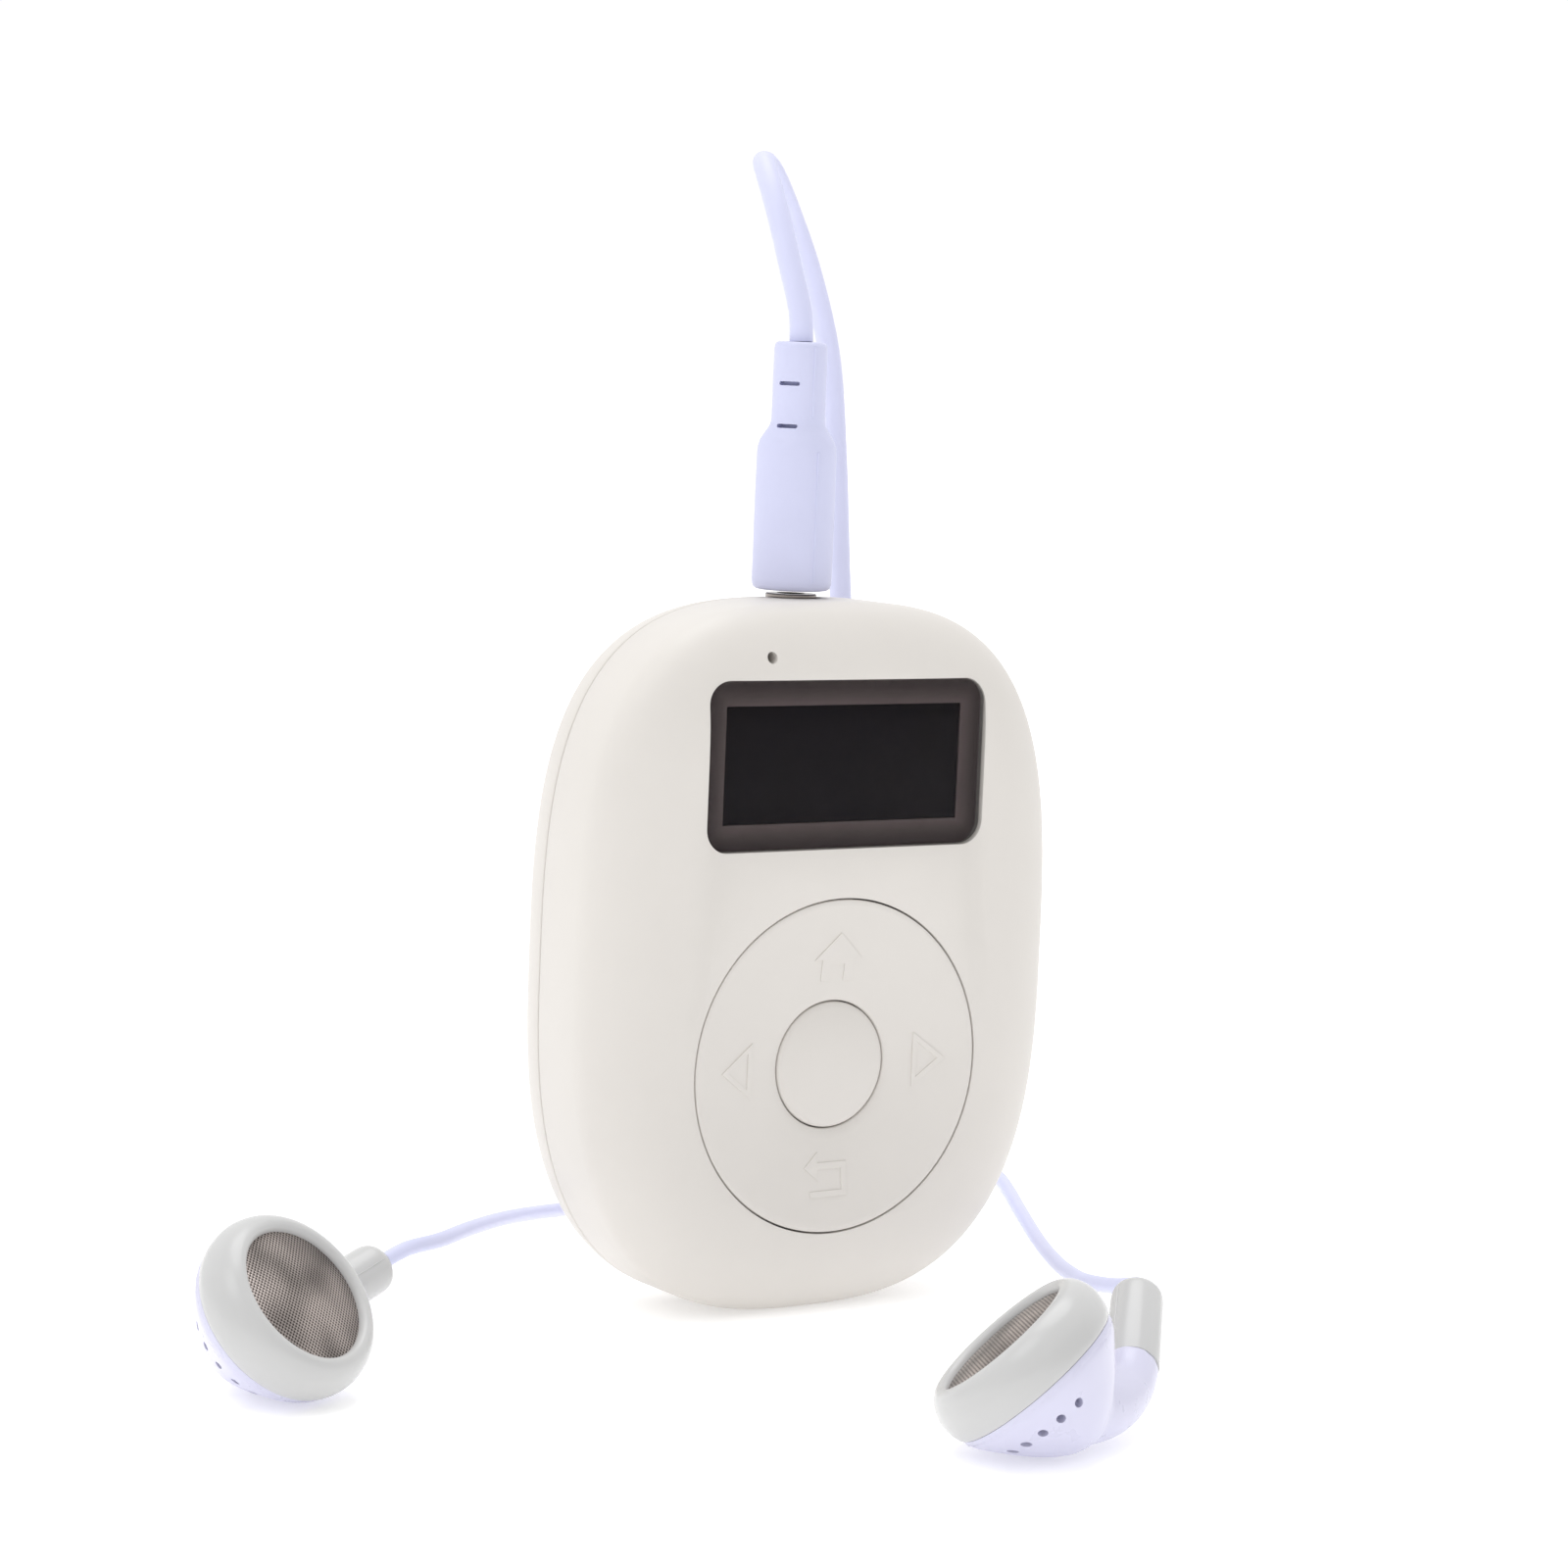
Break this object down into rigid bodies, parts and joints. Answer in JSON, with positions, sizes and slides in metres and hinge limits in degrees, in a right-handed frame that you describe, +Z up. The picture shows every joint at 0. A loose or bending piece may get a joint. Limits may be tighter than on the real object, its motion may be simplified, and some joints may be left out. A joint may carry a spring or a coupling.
{
  "type": "digital audio player",
  "caption": "Pebble-shaped pocket digital audio player with smoked screen, rocking control ring and centre button, with its wired earbud earphones plugged in",
  "frame": {"origin": "under the middle of the player, on the surface that it stands on", "axes": "+Z up, the face looks towards -Y, +X is to the right as the face is looked at"},
  "size_m": [0.1214, 0.1252, 0.0986],
  "materials": {
    "amber_film": "amber flexible circuit film",
    "battery_foil": "soft laminated foil pouch",
    "black_foam": "black foam",
    "black_resin": "black moulded resin",
    "black_wire": "black wire insulation",
    "bright_metal": "bright tinned metal",
    "button_plastic": "pale ivory moulded plastic, slightly smoother than the case",
    "circuit_green": "green circuit board",
    "cord_plastic": "pale lilac-white flexible plastic, satin",
    "dark_chrome": "dark plated metal",
    "diaphragm_film": "thin translucent film",
    "display_glass": "near-black display glass",
    "earbud_grey": "light grey glossy plastic",
    "earbud_shell": "pale lilac-white glossy plastic",
    "gold_plate": "gold plated spring metal",
    "grille_metal": "fine perforated metal, warm grey",
    "red_wire": "red wire insulation",
    "shell_plastic": "pale ivory moulded plastic, fine satin texture",
    "smoked_lens": "smoked translucent, polished",
    "steel": "plain steel",
    "tie_black": "black hook-and-loop strap"
  },
  "bodies": {
    "player": {"battery_cell": "battery_foil", "battery_pad": "black_foam", "battery_wire_black": "black_wire", "battery_wire_red": "red_wire", "cord_tie": "tie_black", "crystal_can": "bright_metal", "display_cushion": "black_foam", "display_panel": "display_glass", "display_ribbon": "amber_film", "front_shell": "shell_plastic", "headphone_jack": "black_resin", "jack_contact_left": "gold_plate", "jack_contact_right": "gold_plate", "leads_coil": "cord_plastic", "left_board_screw": "steel", "left_bud_diaphragm": "diaphragm_film", "left_bud_driver": "steel", "left_bud_grille": "grille_metal", "left_bud_ring": "earbud_grey", "left_bud_shell": "earbud_shell", "left_bud_stem": "earbud_grey", "left_case_screw": "steel", "left_lead": "cord_plastic", "main_board": "circuit_green", "main_cord": "cord_plastic", "main_cord_coil": "cord_plastic", "memory_chip": "black_resin", "microphone": "bright_metal", "microphone_gasket": "black_foam", "power_switch_body": "bright_metal", "processor_chip": "black_resin", "radio_chip": "black_resin", "rear_cover": "shell_plastic", "right_board_screw": "steel", "right_bud_diaphragm": "diaphragm_film", "right_bud_driver": "steel", "right_bud_grille": "grille_metal", "right_bud_ring": "earbud_grey", "right_bud_shell": "earbud_shell", "right_bud_stem": "earbud_grey", "right_case_screw": "steel", "right_lead": "cord_plastic", "ring_bracket": "bright_metal", "screen_lens": "smoked_lens", "switch_centre": "bright_metal", "switch_home": "bright_metal", "switch_next": "bright_metal", "switch_previous": "bright_metal", "switch_return": "bright_metal", "usb_socket": "bright_metal", "y_split": "cord_plastic"},
    "button": {"centre_button": "button_plastic"},
    "ring_frame": {"ring_pivot_frame": "bright_metal"},
    "ring": {"control_ring": "button_plastic"},
    "power_knob": {"power_switch_knob": "button_plastic"},
    "plug": {"plug_sleeve": "dark_chrome", "plug_insulator": "black_resin", "plug_ring": "dark_chrome", "plug_tip": "dark_chrome", "plug_boot": "cord_plastic"}
  },
  "joints": [
    {"name": "button_press", "type": "slide", "parent": "player", "child": "button", "axis": [0, 1, 0], "range_m": [0, 0.0004], "stiffness_N_per_m": 1500},
    {"name": "ring_rock_up_down", "type": "hinge", "parent": "player", "child": "ring_frame", "pos_m": [0, -0.0045, 0.0215], "axis": [1, 0, 0], "range_deg": [-1.3, 1.3], "stiffness_Nm_per_rad": 0.75},
    {"name": "ring_rock_left_right", "type": "hinge", "parent": "ring_frame", "child": "ring", "pos_m": [0, -0.0045, 0.0215], "axis": [0, 0, 1], "range_deg": [-1.3, 1.3], "stiffness_Nm_per_rad": 0.75},
    {"name": "power_slide", "type": "slide", "parent": "player", "child": "power_knob", "axis": [0, 0, 1], "range_m": [0, 0.002]},
    {"name": "plug_pull", "type": "slide", "parent": "player", "child": "plug", "axis": [0, 0, 1], "range_m": [0, 0.016], "deforming": ["main_cord"]}
  ]
}
